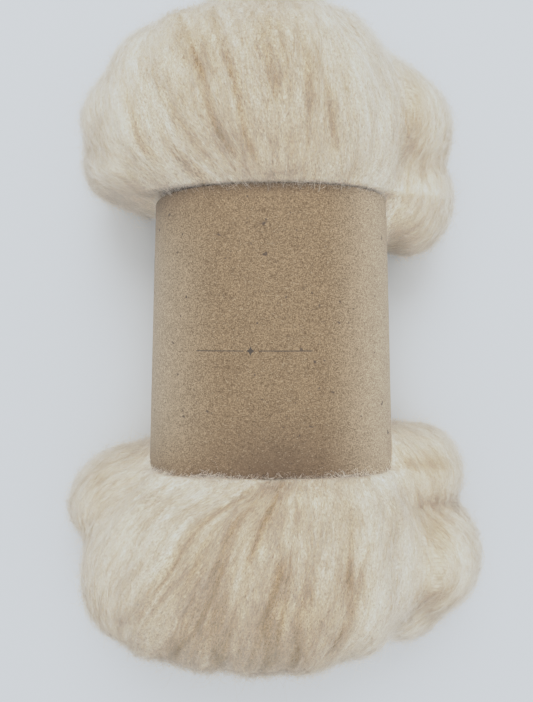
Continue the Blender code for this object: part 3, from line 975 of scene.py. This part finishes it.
def bandMaterial():
    # Recycled kraft card, uncoated: matt brown, mottled, with dark bark flecks and pale fibres
    material, tree, shader = startMaterial("kraft card, uncoated", {
        "Roughness": 0.7, "Specular IOR Level": 0.4, "Sheen Weight": 0.1, "Sheen Roughness": 0.7})
    place = addNode(tree, "TexCoord").outputs["Object"]
    mixed = None
    for layerName in ("clouds", "clumps", "grain"):
        scale, detail, rough, amount = band[layerName]
        layer = addNode(tree, "TexNoise",
                        {"Scale": scale, "Detail": detail, "Roughness": rough}, {"Vector": place})
        total = addNode(tree, "Math",
                        {"operation": "MULTIPLY_ADD", 1: amount, 2: -amount / 2 + 0.5}, {0: layer})
        if mixed:
            centred = addNode(tree, "Math", {"operation": "SUBTRACT", 1: 0.5}, {0: mixed})
            total = addNode(tree, "Math", {"operation": "ADD"}, {0: total, 1: centred})
        mixed = total
        if layerName == "clumps":
            clumps = layer
    mixed.use_clamp = True
    # painted sheen makes it paler down both bends, and painted shade darkens it where the wool's
    # bulges shade it
    paintedSheen = addNode(tree, "Attribute", {"attribute_name": "paintedSheen"})
    dark, pale = (addNode(tree, "Mix",
                          {"data_type": "RGBA", 6: srgb(fresh), 7: srgb(sheenAndWear)},
                          {0: paintedSheen.outputs["Fac"]})
                  for fresh, sheenAndWear in zip(band["pulp"], band["paintedSheenPulp"]))
    colour = addNode(tree, "Mix", {"data_type": "RGBA"},
                     {0: mixed, 6: dark.outputs[2], 7: pale.outputs[2]})
    # painted shade where the wool's bulges shade the card
    shadeAmount = addNode(tree, "Attribute", {"attribute_name": "paintedShade"})
    colour = addNode(tree, "Mix", {"data_type": "RGBA", 7: srgb(band["shadeColour"])},
                     {0: shadeAmount.outputs["Fac"], 6: colour.outputs[2]})
    for angle, scale, detail, rough, level, soft, amount, hue in band["marks"]:
        turned = addNode(tree, "Mapping",
                         {"Rotation": (0, 0, math.radians(angle)), "Scale": scale},
                         {"Vector": place})
        spots = addNode(tree, "TexNoise",
                        {"Scale": 1.0, "Detail": detail, "Roughness": rough}, {"Vector": turned})
        step = addNode(tree, "MapRange",
                       {"interpolation_type": "SMOOTHSTEP", 1: level - soft, 2: level, 4: amount},
                       {0: spots})
        colour = addNode(tree, "Mix", {"data_type": "RGBA", 7: srgb(band[hue])},
                         {0: step, 6: colour.outputs[2]})

    # the thin rule with a four-pointed star in it, as any label might carry, in mm from the middle
    at = addNode(tree, "SeparateXYZ", links={0: place})
    acrossStar, alongStar = divider["centre"]
    x = addNode(tree, "Math",
                {"operation": "MULTIPLY_ADD", 1: 1000.0, 2: -float(middle[0] / mm)},
                {0: at.outputs["X"]})
    y = addNode(tree, "Math",
                {"operation": "MULTIPLY_ADD", 1: 1000.0, 2: -float(middle[1] / mm) - alongStar},
                {0: at.outputs["Y"]})
    off = addNode(tree, "Math", {"operation": "ABSOLUTE"}, {0: y})
    thin = addNode(tree, "Math", {"operation": "LESS_THAN", 1: divider["thick"] / 2}, {0: off})
    inked = None
    for low, high in (divider["left"], divider["right"]):
        along = addNode(tree, "Math",
                        {"operation": "COMPARE", 1: (low + high) / 2, 2: (high - low) / 2}, {0: x})
        line = addNode(tree, "Math", {"operation": "MULTIPLY"}, {0: thin, 1: along})
        if inked:
            line = addNode(tree, "Math", {"operation": "MAXIMUM"}, {0: line, 1: inked})
        inked = line
    across = addNode(tree, "Math", {"operation": "SUBTRACT", 1: acrossStar}, {0: x})
    reach = []
    for part, half in zip((across, y), divider["star"]):
        size = addNode(tree, "Math", {"operation": "ABSOLUTE"}, {0: part})
        scaled = addNode(tree, "Math", {"operation": "DIVIDE", 1: half}, {0: size})
        reach.append(addNode(tree, "Math", {"operation": "POWER", 1: 0.6}, {0: scaled}))
    both = addNode(tree, "Math", {"operation": "ADD"}, {0: reach[0], 1: reach[1]})
    star = addNode(tree, "Math", {"operation": "LESS_THAN", 1: 1.0}, {0: both})
    inked = addNode(tree, "Math", {"operation": "MAXIMUM"}, {0: star, 1: inked})
    front = addNode(tree, "Math",
                    {"operation": "GREATER_THAN", 1: band["axisHeight"] * mm}, {0: at.outputs["Z"]})
    amount = addNode(tree, "Math", {"operation": "MULTIPLY"}, {0: inked, 1: front})
    sheenAndWear = addNode(tree, "Math", {"operation": "MULTIPLY", 1: divider["fresh"]}, {0: amount})
    printed = addNode(tree, "Mix", {"data_type": "RGBA", 7: srgb(band["ink"])},
                      {0: sheenAndWear, 6: colour.outputs[2]})

    bump = addNode(tree, "Bump", {"Strength": 0.3, "Distance": 0.00015},
                   {"Height": clumps.outputs["Fac"]})
    tree.links.new(printed.outputs[2], shader.inputs["Base Color"])
    tree.links.new(bump.outputs["Normal"], shader.inputs["Normal"])
    return material


studio = {
    "floor": "#dddfe0",
    "floorHalf": 3.0,  # m, half its width
    "sky": "#f5f7f9",
    "low": 1.075,  # how strong the room's light is level with the floor
    "high": 1.1,  # how much more comes from high up
    "aside": (0.2, 0.1),  # how much brighter it is from the right, and from beyond the top
    "window": 7.3,  # W, a broad soft light high up beyond the top
    "windowPlace": (0.0, 0.7, 0.87),
    "windowSize": 0.7,
}


def buildStudio():
    size = studio["floorHalf"]
    points = np.array([[-size, -size, 0], [size, -size, 0], [size, size, 0], [-size, size, 0]])
    floor = linkObject("floor", meshFrom("floor", points, np.array([[0, 1, 2], [0, 2, 3]])))
    material, _, _ = startMaterial("matt white card",
                                   {"Base Color": srgb(studio["floor"]), "Roughness": 0.9})
    floor.data.materials.append(material)

    # a pale room all round, lit mostly from above
    world = bpy.data.worlds.new("room")
    bpy.context.scene.world = world
    world.use_nodes = True
    tree = world.node_tree
    background = tree.nodes["Background"]
    background.inputs["Color"].default_value = srgb(studio["sky"])
    way = addNode(tree, "TexCoord")
    parts = addNode(tree, "SeparateXYZ", links={0: way.outputs["Generated"]})
    height = addNode(tree, "Math", {"operation": "MAXIMUM", 1: 0.0}, {0: parts.outputs["Z"]})
    rise = addNode(tree, "Math", {"operation": "POWER", 1: 2.0}, {0: height})
    total = addNode(tree, "Math",
                    {"operation": "MULTIPLY_ADD", 1: studio["high"], 2: studio["low"]}, {0: rise})
    for axis, more in zip("XY", studio["aside"]):
        total = addNode(tree, "Math", {"operation": "MULTIPLY_ADD", 1: more},
                        {0: parts.outputs[axis], 2: total})
    tree.links.new(total.outputs[0], background.inputs["Strength"])

    data = bpy.data.lights.new("window", "AREA")
    data.shape = "DISK"
    data.size = studio["windowSize"]
    data.energy = studio["window"]
    window = linkObject("window", data)
    window.location = Vector(middle) + Vector(studio["windowPlace"])
    window.rotation_euler = (Vector(middle) - window.location).to_track_quat("-Z", "Y").to_euler()


placeCamera()
buildStudio()
print("stage: floor, light and camera are in place")

kraftBand = shapeBand()
kraftBand.data.materials.append(bandMaterial())
print("stage: band is folded round")

woolBody = shapeWool()
markWool(woolBody)
woolBody.data.materials.append(woolBodyMaterial())
print("stage: wool body has", len(woolBody.data.polygons), "faces")

locks = layFibres(woolBody, kraftBand)
print("stage: fibres are laid")

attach(woolBody, "root")
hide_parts("roving_hank")
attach(kraftBand, "root")
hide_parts("paper_band")
for piece in locks:
    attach(piece, "root")
